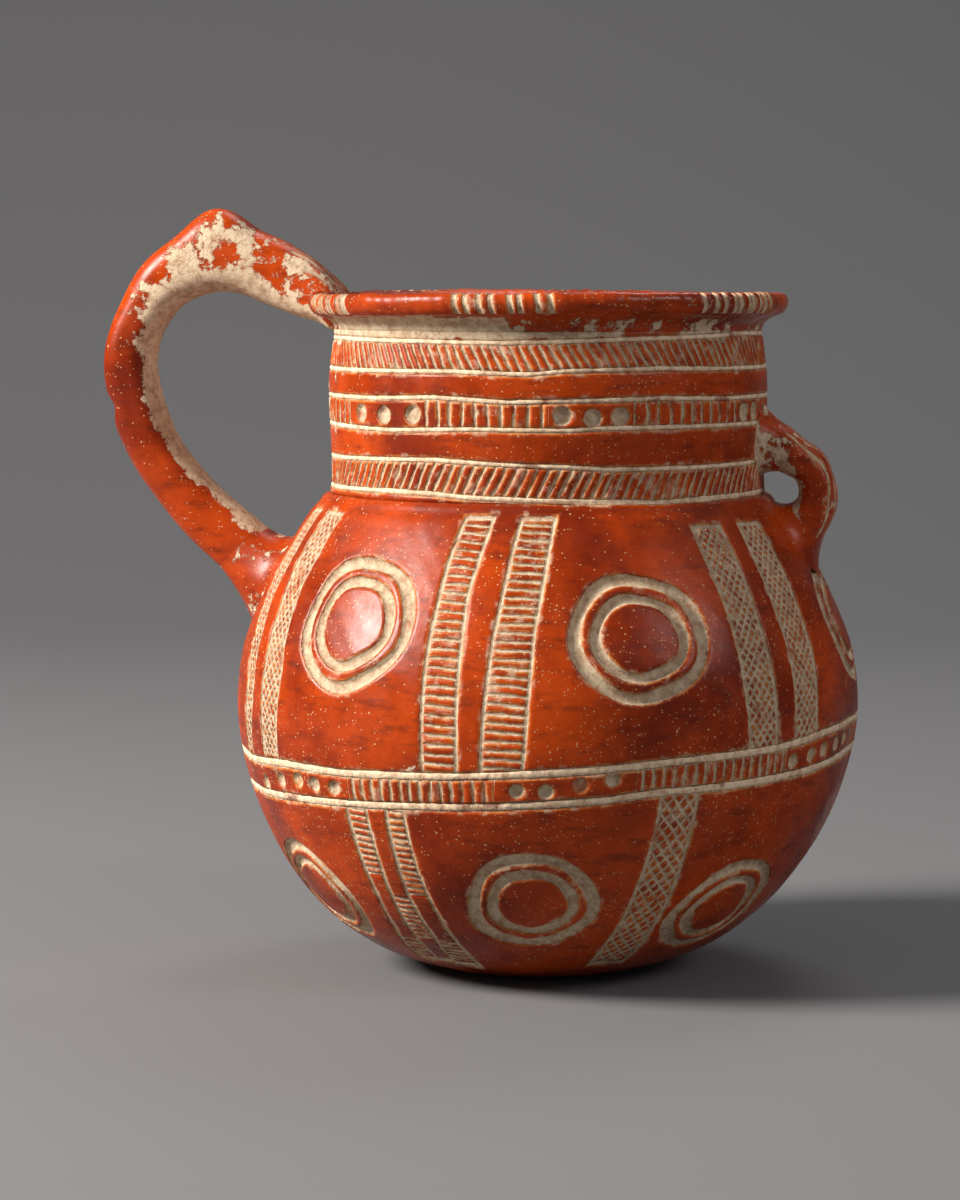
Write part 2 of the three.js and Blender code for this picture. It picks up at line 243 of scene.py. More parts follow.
BAND_D2 = ([(-19.5, 7), (-18.8, 17), (-19.5, 22), (-20.5, 30), (-20.5, 56)],
           [(-10.5, 7), (-13.5, 18), (-15, 27), (-16.3, 38), (-17, 56)], [(5, 16), (30, 56)], LADDER, 2.1)
BAND_D3 = ([(-25, 8), (-25, 56)], [(-18.8, 17), (-19.5, 22), (-20.5, 30)], [(15.5, 29)], LADDER, 2.1)
BAND_E = ([(26, 8), (27, 15), (28.2, 20), (29, 25), (30.3, 40), (31, 60)],
          [(37.6, 8), (37.8, 15), (38, 30), (38, 60)], [(5, 62)], LATTICE, 4.2)
LATTICE_SLANT = 1.25
LADDER_SLANT = 0.06
LOWEST_CUT = 5

# Each band with the angles that it is turned by: the front as seen, and the unseen back repeated from it.
SHOULDER_BANDS = [(band, 0) for band in (BAND_A1, BAND_A2, BAND_B1, BAND_B2, BAND_C1, BAND_C2)]
SHOULDER_BANDS += [(BAND_B1, 118), (BAND_B2, 118), (BAND_C1, 120), (BAND_C2, 120), (BAND_B1, -120),
                   (BAND_B2, -120)]
LOW_BANDS = [(band, turned_by) for band in (BAND_D1, BAND_D2, BAND_D3) for turned_by in (0, 118, -126)]
LOW_BANDS += [(BAND_E, turned_by) for turned_by in (0, 118, -124)]

# Double circles: angle, height, outer radius across and up, inner radius across and up. Drawn by hand, they
# stray from round by a share in three waves and in five, and the width of their cut strays in four.
SHOULDER_CIRCLES = [
    (-29.7, 106, 18.2, 18.2, 12.4, 12.4), (27.2, 103.5, 18.4, 16.8, 12.6, 11.2),
    (91, 103, 18, 17, 12.4, 11.6), (148, 104, 18, 18, 12.3, 12.3), (208, 105, 18, 18, 12.3, 12.3)]
LOW_CIRCLES = [
    (-52.5, 26, 16.6, 16.6, 11.3, 11.3), (7.5, 29, 16.6, 16.4, 11.2, 11), (55.5, 24, 16.4, 16.4, 11, 11),
    (121, 26, 16.6, 16.6, 11.2, 11.2), (180, 26, 16.6, 16.6, 11.2, 11.2), (238, 26, 16.6, 16.6, 11.2, 11.2)]
OUTER_HALF = 1.75
INNER_HALF = 1.5
THREE_WAVES = 0.022
FIVE_WAVES = 0.018
WIDTH_WAVES = 0.12

# Dots pressed between the lines: angle and height, with their radius.
NECK_DOTS = [
    (-46, 162.6), (-36.5, 162.4), (-26.5, 162.8), (13.7, 162.8), (21.3, 162.2), (28.4, 162.6), (71, 163),
    (77.5, 163), (134, 162.8), (142, 162.8), (150, 162.8), (196, 162.8), (204, 162.8), (212, 162.8)]
GIRDLE_DOTS = [
    (-55, 58), (-48, 60), (-41.8, 61), (-37, 60.5), (-31.8, 60.2), (4.7, 62.3), (9.8, 62.2), (15.8, 64),
    (21.5, 65.5), (60, 66.8), (65.5, 67.8), (70, 68.6), (75.5, 69.4), (80, 70.2), (120, 68.6), (126, 68.4),
    (132, 68.2), (176, 63.8), (182, 63.6), (188, 63.2), (232, 62), (238, 61), (244, 60)]
NECK_DOT_RADIUS = 2.6
GIRDLE_DOT_RADIUS = 2.1

# Rows of short strokes between the lines: how many there are in a full turn, and the lean of the slanting
# ones in degrees. The neck's ticks leave the dots free, and the girdle's ticks stand only in their spans.
STROKES_TOP = 144
STROKES_LOW = 131
TICKS = 106
GIRDLE_TICKS = 180
STROKE_LEAN = 4.0
NECK_DOT_SPANS = [(-50.5, -22.5), (10, 31.8), (67.5, 82), (130, 154), (192, 216)]
GIRDLE_TICK_SPANS = [(-28.2, 0.6), (25.6, 57.5), (84, 116), (136, 172), (192, 228)]


def in_spans(psi, spans):
    """True where an angle lies in one of the spans."""
    hit = np.zeros(psi.shape, bool)
    for low, high in spans:
        hit |= np.abs(around(psi, (low + high) / 2)) < (high - low) / 2
    return hit


def ornament(psi, z):
    """Where the incised pattern lies, for every point at once.

    edge is the distance to the nearest wide cut, negative inside it. rail is the distance to the nearest
    band's border, negative inside the band. phase_a and phase_b count the strokes crossed along the band,
    and pitch is their spacing: a stroke's middle is where a phase is a whole number and a half.
    """
    r = radius_at(z)
    s = along_at(z)
    per_degree = r * math.pi / 180
    edge = np.full(psi.shape, FAR)
    rail = np.full(psi.shape, FAR)
    phase_a = np.zeros(psi.shape)
    phase_b = np.zeros(psi.shape)
    pitch = np.full(psi.shape, PLAIN_PITCH)

    lines = [line_height(line, psi) for line in NECK_LINES]
    low_line, high_line = line_height(GIRDLE_LOWER, psi), line_height(GIRDLE_UPPER, psi)
    for height in lines:
        edge = np.minimum(edge, np.abs(z - height) - NECK_HALF)
    for height in (low_line, high_line):
        edge = np.minimum(edge, np.abs(z - height) - GIRDLE_HALF)

    for bands, floor_z, roof_z in ((SHOULDER_BANDS, high_line, None), (LOW_BANDS, None, low_line)):
        for (left, right, spans, kind, spacing), turned_by in bands:
            left_psi, left_z = np.array(left, float).T
            right_psi, right_z = np.array(right, float).T
            west, east = np.interp(z, left_z, left_psi), np.interp(z, right_z, right_psi)
            u = around(psi, (west + east) / 2 + turned_by) * per_degree
            low = max(min(left_z[0], right_z[0]), LOWEST_CUT) if floor_z is None else floor_z
            high = spans[-1][1] if roof_z is None else roof_z
            border = np.maximum(np.abs(u) - (east - west) / 2 * per_degree, np.maximum(low - z, z - high))
            near = border < rail
            rung = np.zeros(psi.shape, bool)
            for start, end in spans:
                rung |= (z > start) & (z < end)
            slant = LATTICE_SLANT if kind == LATTICE else LADDER_SLANT
            squeeze = math.hypot(1, slant)
            crossed = s - slant * u if kind == LATTICE else s + slant * u
            rail = np.where(near, border, rail)
            phase_a = np.where(near, (s + slant * u) / spacing, phase_a)
            phase_b = np.where(near, crossed / spacing, phase_b)
            pitch = np.where(near, np.where(rung, spacing / squeeze, PLAIN_PITCH), pitch)

    for centre, height, outer_x, outer_z, inner_x, inner_z in SHOULDER_CIRCLES + LOW_CIRCLES:
        u = around(psi, centre) * per_degree
        v = s - along_at(height)
        a = np.arctan2(v, u)
        wobble = 1 + THREE_WAVES * np.sin(3 * a + centre) + FIVE_WAVES * np.sin(5 * a + 2 * centre)
        for across, up, half in ((outer_x, outer_z, OUTER_HALF), (inner_x, inner_z, INNER_HALF)):
            off = np.abs(np.hypot(u / across, v / up) - wobble) * (across + up) / 2
            edge = np.minimum(edge, off - half * (1 + WIDTH_WAVES * np.sin(4 * a)))
    for dots, radius in ((NECK_DOTS, NECK_DOT_RADIUS), (GIRDLE_DOTS, GIRDLE_DOT_RADIUS)):
        for centre, height in dots:
            off = np.hypot(around(psi, centre) * per_degree, s - along_at(height))
            edge = np.minimum(edge, off - radius)

    rows = [
        (lines[4], lines[5], STROKES_TOP, -STROKE_LEAN, None, None),
        (lines[2], lines[3], TICKS, 0, NECK_DOT_SPANS, None),
        (lines[0], lines[1], STROKES_LOW, STROKE_LEAN, None, None),
        (low_line, high_line, GIRDLE_TICKS, 0, None, GIRDLE_TICK_SPANS)]
    for low, high, strokes, lean, left_free, only_in in rows:
        inside = (z > low) & (z < high)
        if left_free is not None:
            inside &= ~in_spans(psi, left_free)
        if only_in is not None:
            inside &= in_spans(psi, only_in)
        height = (z - low) / (high - low)
        turn_count = (psi - lean * height) * strokes / 360
        rail = np.where(inside, np.maximum(low - z, z - high), rail)
        phase_a = np.where(inside, turn_count, phase_a)
        phase_b = np.where(inside, turn_count, phase_b)
        pitch = np.where(inside, 360 / strokes * per_degree, pitch)
    return edge, rail, phase_a, phase_b, pitch


# Depths of the cuts, half the widths of the narrow ones, and where each slopes, inside and outside its edge.
WIDE_DEPTH = 1.15
STROKE_DEPTH = 0.5
STROKE_HALF = 0.42
RAIL_HALF = 0.55
WIDE_SLOPE = (-0.8, 0.35)
RAIL_SLOPE = (-0.5, 0.45)
STROKE_SLOPE = (-0.45, 0.5)
STROKE_END_SLOPE = (-0.3, 0.3)


def carved_depth(fields):
    """Depth of the cuts: the deepest of a wide cut, a border and a stroke, each with a smooth slope."""
    edge, rail, phase_a, phase_b, pitch = fields
    wide = WIDE_DEPTH * (1 - step_up(*WIDE_SLOPE, edge))
    border = STROKE_DEPTH * (1 - step_up(*RAIL_SLOPE, np.abs(rail) - RAIL_HALF))
    cross = np.minimum(np.abs(phase_a % 1 - 0.5), np.abs(phase_b % 1 - 0.5)) * pitch
    across_stroke = 1 - step_up(*STROKE_SLOPE, cross - STROKE_HALF)
    stroke = STROKE_DEPTH * across_stroke * (1 - step_up(*STROKE_END_SLOPE, rail))
    return np.maximum(np.maximum(wide, border), stroke)


# The seam between shoulder and neck: a ridge of height RIDGE_RISE, with a groove above it.
RIDGE_Z = 137.2
RIDGE_RISE = 0.55
RIDGE_SPREAD = 1.1
GROOVE_Z = 139.0
GROOVE_DROP = 0.5
GROOVE_SPREAD = 0.6
SLOW_WAVES = 0.28
QUICK_WAVES = 0.1


def surface_noise(psi, z):
    """Unevenness of the burnished wall: two sums of waves, with a bell curve for the ridge and the groove."""
    ridge = RIDGE_RISE * np.exp(-((z - RIDGE_Z) / RIDGE_SPREAD) ** 2)
    seam = ridge - GROOVE_DROP * np.exp(-((z - GROOVE_Z) / GROOVE_SPREAD) ** 2)
    return SLOW_WAVES * hand(psi, z, seed=1.7) + QUICK_WAVES * hand(3 * psi, 4 * z, seed=0.6) + seam


def on_pot(psi, z, push):
    """Points on the pot's skin moved out along its normal, leaning towards the handle below the belly."""
    s = along_at(z)
    above, below = s + TANGENT_STEP, s - TANGENT_STEP
    tangent_r = np.interp(above, skin_s, skin_r) - np.interp(below, skin_s, skin_r)
    tangent_z = np.interp(above, skin_s, skin_z) - np.interp(below, skin_s, skin_z)
    length = np.hypot(tangent_r, tangent_z)
    r = radius_at(z) + push * tangent_z / length
    height = z - push * tangent_r / length
    a = np.radians(psi)
    lean = LEAN * np.clip(1 - height / LEAN_HEIGHT, 0, 1) ** LEAN_POWER
    return np.stack([r * np.sin(a) - lean, -r * np.cos(a), height], axis=-1)


def no_cuts(shape):
    """The pattern's fields for a surface that has none of it."""
    return (np.full(shape, FAR), np.full(shape, FAR), np.zeros(shape), np.zeros(shape),
            np.full(shape, PLAIN_PITCH))


def make_solid(name, rings, fields, crust, poles=False):
    """One closed mesh from a grid of rings of points.

    Each ring is closed round its columns. The last ring joins the first, or with poles each end closes in one
    point. The pattern is kept on the vertices: cut holds edge, pitch and crust, and band holds rail and both
    phases.
    """
    rows, columns = rings.shape[:2]
    points = rings.reshape(-1, 3) * MM
    here = np.arange(rows * columns).reshape(rows, columns)
    right = np.roll(here, -1, axis=1)
    last = rows - 1 if poles else rows
    up, up_right = np.roll(here, -1, axis=0), np.roll(right, -1, axis=0)
    faces = np.stack([here, right, up_right, up], axis=-1)[:last].reshape(-1, 4).tolist()
    edge, rail, phase_a, phase_b, pitch = fields
    cut = np.stack([edge, pitch, crust], axis=-1).reshape(-1, 3)
    band = np.stack([rail, phase_a, phase_b], axis=-1).reshape(-1, 3)
    if poles:
        first, final = rows * columns, rows * columns + 1
        points = np.concatenate([points, points[here[0]].mean(0)[None], points[here[-1]].mean(0)[None]])
        cut = np.concatenate([cut, cut[here[0, :1]], cut[here[-1, :1]]])
        band = np.concatenate([band, band[here[0, :1]], band[here[-1, :1]]])
        faces += np.stack([np.full(columns, first), right[0], here[0]], axis=-1).tolist()
        faces += np.stack([np.full(columns, final), here[-1], right[-1]], axis=-1).tolist()
    mesh = bpy.data.meshes.new(name)
    mesh.from_pydata(points.tolist(), [], faces)
    mesh.polygons.foreach_set("use_smooth", [True] * len(faces))
    for label, values in (("cut", cut), ("band", band)):
        store = mesh.attributes.new(label, "FLOAT_VECTOR", "POINT")
        store.data.foreach_set("vector", values.astype(np.float32).ravel())
    piece = bpy.data.objects.new(name, mesh)
    bpy.context.scene.collection.objects.link(piece)
    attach(piece, "root")
    return piece


# The Mix node's colour sockets.
MIX_A, MIX_B, MIX_RESULT = 6, 7, 2


class Graph:
    """A material's node tree, written as sums: each call adds a node and returns its output."""

    def __init__(self, name):
        self.material = bpy.data.materials.new(name)
        self.material.use_nodes = True
        self.tree = self.material.node_tree
        self.shader = self.tree.nodes["Principled BSDF"]
        self.object = self.tree.nodes.new("ShaderNodeTexCoord").outputs["Object"]

    def put(self, socket, value):
        """Link an output to a socket, or set the socket to a plain value."""
        if isinstance(value, bpy.types.NodeSocket):
            self.tree.links.new(value, socket)
        else:
            socket.default_value = value

    def math(self, operation, a, b=0.0, c=0.0):
        """One sum on numbers."""
        node = self.tree.nodes.new("ShaderNodeMath")
        node.operation = operation
        for socket, value in zip(node.inputs, (a, b, c)):
            self.put(socket, value)
        return node.outputs[0]

    def ramp(self, value, low, high, to_low=0.0, to_high=1.0):
        """Smooth step from to_low, where the value is low, to to_high, where it is high."""
        node = self.tree.nodes.new("ShaderNodeMapRange")
        node.interpolation_type = "SMOOTHSTEP"
        amounts = {"Value": value, "From Min": low, "From Max": high, "To Min": to_low, "To Max": to_high}
        for label, amount in amounts.items():
            self.put(node.inputs[label], amount)
        return node.outputs["Result"]

    def stretched(self, stretch):
        """The object's own coordinates: a larger number makes a pattern shorter along that axis."""
        spread = self.tree.nodes.new("ShaderNodeMapping")
        spread.inputs["Scale"].default_value = stretch
        self.tree.links.new(self.object, spread.inputs["Vector"])
        return spread.outputs[0]

    def noise(self, scale, detail=3.0, rough=0.5, stretch=(1, 1, 1)):
        """Cloudy noise, 0 to 1, with scale clouds to the metre."""
        node = self.tree.nodes.new("ShaderNodeTexNoise")
        self.tree.links.new(self.stretched(stretch), node.inputs["Vector"])
        node.inputs["Scale"].default_value = scale
        node.inputs["Detail"].default_value = detail
        node.inputs["Roughness"].default_value = rough
        return node.outputs["Fac"]

    def cells(self, scale, stretch=(1, 1, 1)):
        """Scattered cells: the distance to the nearest one's middle, and a random number of its own."""
        node = self.tree.nodes.new("ShaderNodeTexVoronoi")
        self.tree.links.new(self.stretched(stretch), node.inputs["Vector"])
        node.inputs["Scale"].default_value = scale
        split = self.tree.nodes.new("ShaderNodeSeparateColor")
        self.tree.links.new(node.outputs["Color"], split.inputs[0])
        return node.outputs["Distance"], split.outputs[0]

    def mix(self, amount, a, b):
        """Colour a, turning to colour b as the amount goes from 0 to 1."""
        node = self.tree.nodes.new("ShaderNodeMix")
        node.data_type = "RGBA"
        self.put(node.inputs["Factor"], amount)
        self.put(node.inputs[MIX_A], a)
        self.put(node.inputs[MIX_B], b)
        return node.outputs[MIX_RESULT]

    def attribute(self, label):
        """The three numbers that a piece keeps on its vertices under a name."""
        node = self.tree.nodes.new("ShaderNodeAttribute")
        node.attribute_name = label
        split = self.tree.nodes.new("ShaderNodeSeparateXYZ")
        self.tree.links.new(node.outputs["Vector"], split.inputs[0])
        return split.outputs

    def relief(self, height, strength):
        """Fine relief on the shader's normal, from a height in millimetres."""
        bump = self.tree.nodes.new("ShaderNodeBump")
        bump.inputs["Strength"].default_value = strength
        bump.inputs["Distance"].default_value = MM
        self.put(bump.inputs["Height"], height)
        self.put(self.shader.inputs["Normal"], bump.outputs[0])


LIME_PALE = (0.86, 0.67, 0.46, 1)
LIME_DULL = (0.60, 0.39, 0.24, 1)
# Painted shade colour for the small pits in the lime.
LIME_PIT_SHADE = (0.13, 0.055, 0.028, 1)
SLIP_BRIGHT = (0.46, 0.050, 0.002, 1)
SLIP_DEEP = (0.165, 0.013, 0.0015, 1)
SLIP_DARK = (0.075, 0.011, 0.005, 1)
CLAY_OCHRE = (0.56, 0.19, 0.045, 1)
SPECK = (0.62, 0.34, 0.17, 1)
SLIP_SHEEN = 0.2
SLIP_RELIEF = 0.9

# Noise scales, in clouds to the metre.
CLOUD_SCALE = 380
PIT_SCALE = 950
RAGGED_SCALE = 520
DRIFT_SCALE = 160
LOST_SCALE = 75
CRUST_SCALE = 95
HALO_SCALE = 230
DUST_SCALE = 28
BROKEN_SCALE = 1500
PATCH_SCALE = 19
STREAK_SCALE = 90
DAPPLE_SCALE = 420
EDGE_WEAR_SCALE = 190
POLISH_SCALE = 60
GRAIN_SCALE = 900
WEAR_SCALE = 260


def lime_powder(g):
    """Cream lime clouded with dull beige, with small dark spots of painted shade where its pits are."""
    cloud = g.mix(g.ramp(g.noise(CLOUD_SCALE, 6, 0.7), 0.36, 0.60), LIME_DULL, LIME_PALE)
    # The pits are painted shade: dark spots in the lime's colour, with no hollow in its shape.
    return g.mix(g.ramp(g.noise(PIT_SCALE, 4, 0.7), 0.58, 0.72, 0.0, 0.55), cloud, LIME_PIT_SHADE)


def slipped_clay(name, brightness, speckle):
    """Burnished red slip over ochre clay, with lime in the cuts.

    The distance to the nearest cut is the least of the wide cuts' edge, the bands' rails and their strokes,
    each made uneven by noise. Lime fills the inside, ochre shows along the edges, and crust and specks come
    on top.
    """
    g = Graph(name)
    edge, pitch, crust = g.attribute("cut")
    rail, phase_a, phase_b = g.attribute("band")
    ragged = g.math("SUBTRACT", g.noise(RAGGED_SCALE, 6, 0.75), 0.5)
    drift = g.math("MULTIPLY", g.math("SUBTRACT", g.noise(DRIFT_SCALE, 2), 0.5), 0.55)

    def stroke(phase):
        """Distance to the edge of the nearest stroke, from a phase that drifts."""
        moved = g.math("ADD", phase, drift)
        off = g.math("ABSOLUTE", g.math("SUBTRACT", g.math("FRACT", moved), 0.5))
        return g.math("SUBTRACT", g.math("MULTIPLY", off, pitch), STROKE_HALF)

    strokes = g.math("MAXIMUM", g.math("MINIMUM", stroke(phase_a), stroke(phase_b)), rail)
    rails = g.math("SUBTRACT", g.math("ABSOLUTE", rail), RAIL_HALF)
    nearest = g.math("MINIMUM", edge, g.math("MINIMUM", strokes, rails))
    nearest = g.math("ADD", nearest, g.math("MULTIPLY", ragged, 1.1))
    filled = g.ramp(nearest, 0.12, -0.12)
    lost = g.ramp(g.noise(LOST_SCALE, 4, 0.65), 0.60, 0.68)
    lime = g.math("MULTIPLY", filled, g.math("SUBTRACT", 1.0, g.math("MULTIPLY", lost, 0.75)))
    crust_level = g.math("SUBTRACT", 0.80, g.math("MULTIPLY", crust, 0.42))
    crust_noise = g.noise(CRUST_SCALE, 10, 0.72)
    flakes = g.ramp(g.math("SUBTRACT", crust_noise, crust_level), -0.01, 0.025)
    halo_noise = g.ramp(g.noise(HALO_SCALE, 5, 0.6), 0.52, 0.66)
    halo = g.math("MULTIPLY", g.ramp(nearest, 1.5, 0.1), halo_noise)
    chalk = g.math("MAXIMUM", g.math("MAXIMUM", lime, flakes), g.math("MULTIPLY", halo, 0.55))

    # Specks in two sizes, then scratches round the pot and up it: the scale of the cells, the share of them
    # that is marked, the size of a mark, and how it is squeezed along each axis.
    kinds = [
        (1150, speckle, 0.30, (1, 1, 1.3)),
        (430, speckle * 0.5, 0.17, (1, 1.8, 1)),
        (150, 0.10, 0.10, (1, 1, 5)),
        (190, 0.08, 0.09, (4, 4, 1))]
    dusty = g.ramp(g.noise(DUST_SCALE, 3), 0.35, 0.65, 0.3, 1.7)
    broken = g.ramp(g.noise(BROKEN_SCALE, 2), 0.3, 0.7, 0.5, 1.5)
    marks = 0.0
    for scale, share, size, stretch in kinds:
        gap, pick = g.cells(scale, stretch)
        chosen = g.math("LESS_THAN", pick, g.math("MULTIPLY", dusty, share))
        mark = g.ramp(g.math("MULTIPLY", gap, broken), size, size / 2)
        marks = g.math("MAXIMUM", marks, g.math("MULTIPLY", mark, chosen))

    patches = g.ramp(g.noise(PATCH_SCALE, 5, 0.65), 0.34, 0.66)
    bright = tuple(min(1, v * brightness) for v in SLIP_BRIGHT[:3]) + (1,)
    slip = g.mix(patches, SLIP_DEEP, bright)
    streaks = g.noise(STREAK_SCALE, 5, 0.65, (1, 1, 4))
    slip = g.mix(g.ramp(streaks, 0.48, 0.72, 0.0, 0.55), slip, SLIP_DARK)
    slip = g.mix(g.ramp(g.noise(DAPPLE_SCALE, 6, 0.75), 0.54, 0.76, 0.0, 0.65), slip, SLIP_DARK)
    worn_away = g.ramp(g.noise(EDGE_WEAR_SCALE, 4), 0.40, 0.62, 0.1, 0.85)
    worn = g.mix(g.math("MULTIPLY", g.ramp(nearest, 0.75, 0.25), worn_away), slip, CLAY_OCHRE)
    worn = g.mix(g.math("MULTIPLY", marks, 0.8), worn, SPECK)
    g.put(g.shader.inputs["Base Color"], g.mix(chalk, worn, lime_powder(g)))

    polish = g.ramp(g.noise(POLISH_SCALE, 5, 0.6), 0.3, 0.7, 0.24, 0.44)
    g.put(g.shader.inputs["Roughness"], g.math("ADD", polish, g.math("MULTIPLY", chalk, 0.5)))
    g.shader.inputs["Specular IOR Level"].default_value = SLIP_SHEEN
    sunk = g.math("MULTIPLY", g.ramp(nearest, 0.3, -0.5), -0.8)
    grain_noise = g.math("SUBTRACT", g.noise(GRAIN_SCALE, 6, 0.8), 0.5)
    grain = g.math("MULTIPLY", g.math("MULTIPLY", grain_noise, chalk), 1.4)
    skin_wear = g.math("MULTIPLY", g.noise(WEAR_SCALE, 4, 0.6), 0.10)
    raised = g.math("ADD", skin_wear, g.math("MULTIPLY", flakes, 0.3))
    g.relief(g.math("ADD", g.math("ADD", sunk, grain), raised), SLIP_RELIEF)
    return g.material


body_look = slipped_clay("burnished_slip", brightness=1.0, speckle=0.14)
columns = np.arange(COLUMNS) * 360 / COLUMNS - 180

# Unevenness and lime crust of the inside of a wall.
INSIDE_WAVES = 0.3
INSIDE_CRUST = 0.25


def wall_rings(low, high, rows):
    """Outer rings between two wavy heights, evenly spaced up the wall, with their pattern carved in."""
    psi = np.broadcast_to(columns, (rows, COLUMNS))
    share = np.linspace(0, 1, rows)[:, None]
    z = low + (high - low) * share
    fields = ornament(psi, z)
    push = surface_noise(psi, z) - carved_depth(fields)
    return psi, z, fields, on_pot(psi, z, push)


def join_fields(*parts):
    """The pattern's fields of several groups of rings, one group after another."""
    return [np.concatenate(group) for group in zip(*parts)]


def inner_rings(low, high, rows, thickness):
    """Inner rings from the top down, a wall's thickness inside the skin."""
    psi = np.broadcast_to(columns, (rows, COLUMNS))
    z = high + (low - high) * np.linspace(0, 1, rows)[:, None]
    return on_pot(psi, z, -thickness + INSIDE_WAVES * hand(psi, z, seed=2.9))


def add_wall(name, node, low, high, rows, inner_rows, thickness, crust):
    """A ring of wall: outside from its lower seam to its upper one, then down the inside."""
    psi, z, fields, outside = wall_rings(low, high, rows)
    inside = inner_rings(low, high, inner_rows, thickness)
    plain = no_cuts(inside.shape[:2])
    rings = np.concatenate([outside, inside])
    amount = np.concatenate([crust(psi, z), np.full(inside.shape[:2], INSIDE_CRUST)])
    piece = make_solid(name, rings, join_fields(fields, plain), amount)
    piece.data.materials.append(body_look)
    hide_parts(node)


lower_seam = line_height(GIRDLE_LOWER, columns)
upper_seam = line_height(GIRDLE_UPPER, columns)
SEAM_GAP = 0.1
BOWL_OUTER_ROWS = 112
BOWL_INNER_ROWS = 18
BOWL_LOWEST = 0.05
BOWL_INSIDE_LOWEST = 9.0

# Rings that close the worn flat and the floor, as shares of the way out from the middle.
FOOT_SHARES = [0.02, 0.3, 0.65, 0.9]
PIT_SHARES = [0.7, 0.4, 0.15, 0.02]
BOWL_CRUST = 0.22
FOOT_CRUST = 0.45
FOOT_CRUST_RINGS = 8

bowl_seam = lower_seam - SEAM_GAP
_, _, bowl_cuts, bowl_outside = wall_rings(np.full(COLUMNS, BOWL_LOWEST), bowl_seam, BOWL_OUTER_ROWS)
foot_middle = np.array([-LEAN, 0, 0])
foot = foot_middle + (bowl_outside[0] - foot_middle) * np.array(FOOT_SHARES)[:, None, None]
foot[..., 2] = 0
bowl_outside[0, :, 2] = 0
bowl_inside = inner_rings(np.full(COLUMNS, BOWL_INSIDE_LOWEST), bowl_seam, BOWL_INNER_ROWS, BODY_THICKNESS)
bowl_inside[..., 2] = np.maximum(bowl_inside[..., 2], FLOOR_THICKNESS)
pit_middle = np.array([-LEAN, 0, FLOOR_THICKNESS])
pit = pit_middle + (bowl_inside[-1] - pit_middle) * np.array(PIT_SHARES)[:, None, None]
bowl_rings = np.concatenate([foot, bowl_outside, bowl_inside, pit])
bowl_fields = join_fields(
    no_cuts(foot.shape[:2]), bowl_cuts, no_cuts(bowl_inside.shape[:2]), no_cuts(pit.shape[:2]))
bowl_crust = np.full(bowl_rings.shape[:2], BOWL_CRUST)
bowl_crust[:FOOT_CRUST_RINGS] = FOOT_CRUST
bowl = make_solid("bowl_clay", bowl_rings, bowl_fields, bowl_crust, poles=True)
bowl.data.materials.append(body_look)
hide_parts("base_bowl")

# Girdle coil
# The coil between the two girdle lines, added to the bowl's edge and pressed with dots and upright ticks.
GIRDLE_OUTER_ROWS = 20
GIRDLE_INNER_ROWS = 4


def girdle_crust(psi, z):
    """Thin lime film, uneven round the coil."""
    return 0.3 + 0.1 * hand(psi, z, seed=3.3)


add_wall("girdle_clay", "girdle_coil", lower_seam + SEAM_GAP, upper_seam - SEAM_GAP, GIRDLE_OUTER_ROWS,
         GIRDLE_INNER_ROWS, BODY_THICKNESS, girdle_crust)

# Shoulder wall
# The wide wall from the upper girdle line to the neck, coil-built, with the bands and double circles cut
# into it.
SHOULDER_TOP = 138.9
SHOULDER_OUTER_ROWS = 126
SHOULDER_INNER_ROWS = 9


def shoulder_crust(psi, z):
    """Thin lime film: more just above the girdle, below the neck and round the feet of handle and lug."""
    ends = 0.22 * step_up(12, 0, z - line_height(GIRDLE_UPPER, psi)) + 0.2 * step_up(126, 137, z)
    feet = 0.35 * np.exp(-((around(psi, -90) / 17) ** 2 + ((z - 116) / 20) ** 2))
    feet += 0.3 * np.exp(-((around(psi, 90) / 13) ** 2 + ((z - 126) / 14) ** 2))
    return 0.16 + ends + feet + 0.08 * hand(psi, z, seed=5.1)


add_wall("shoulder_clay", "shoulder_wall", upper_seam + SEAM_GAP, np.full(COLUMNS, SHOULDER_TOP - SEAM_GAP),
         SHOULDER_OUTER_ROWS, SHOULDER_INNER_ROWS, BODY_THICKNESS, shoulder_crust)

# Neck collar
# The upright neck, set on the shoulder, with six lines round it, slanting strokes in its top and low rows,
# and ticks and dots in the middle one.
NECK_TOP = 186.0
NECK_OUTER_ROWS = 90
NECK_INNER_ROWS = 8


def neck_crust(psi, z):
    """Thick lime under the lip and beside the handle, thinner over the rest."""
    under = 1.1 * step_up(180, 186, z) * (0.55 + 0.45 * (np.abs(around(psi, -30)) < 48))
    handle_side = 0.45 * np.exp(-(around(psi, -75) / 18) ** 2)
    lug_side = 0.5 * np.exp(-((around(psi, 88) / 14) ** 2 + ((z - 157) / 16) ** 2))
    return 0.2 + under + handle_side + lug_side + 0.1 * hand(psi, z, seed=0.9)


add_wall("neck_clay", "neck_collar", np.full(COLUMNS, SHOULDER_TOP + SEAM_GAP),
         np.full(COLUMNS, NECK_TOP - SEAM_GAP), NECK_OUTER_ROWS, NECK_INNER_ROWS, NECK_THICKNESS, neck_crust)

# Rim lip
# The everted lip, a coil folded out over the neck and notched along its edge in groups. Its section is radius
# and height, once round from the neck's outside to its inside.
LIP = [(62, 185.9), (62.6, 187.6), (64.6, 189.3), (68.1, 190.8), (69.4, 193.2), (69.0, 195.4), (67.4, 196.4),
       (64.4, 196.0), (60.4, 193.4), (57.6, 189.8), (56.8, 185.9)]
LIP_MIDDLE_R = 63.6
LIP_MIDDLE_Z = 191.5
LIP_ROWS = 56
LIP_FREE = (187, 190)
LIP_WARP = 0.35

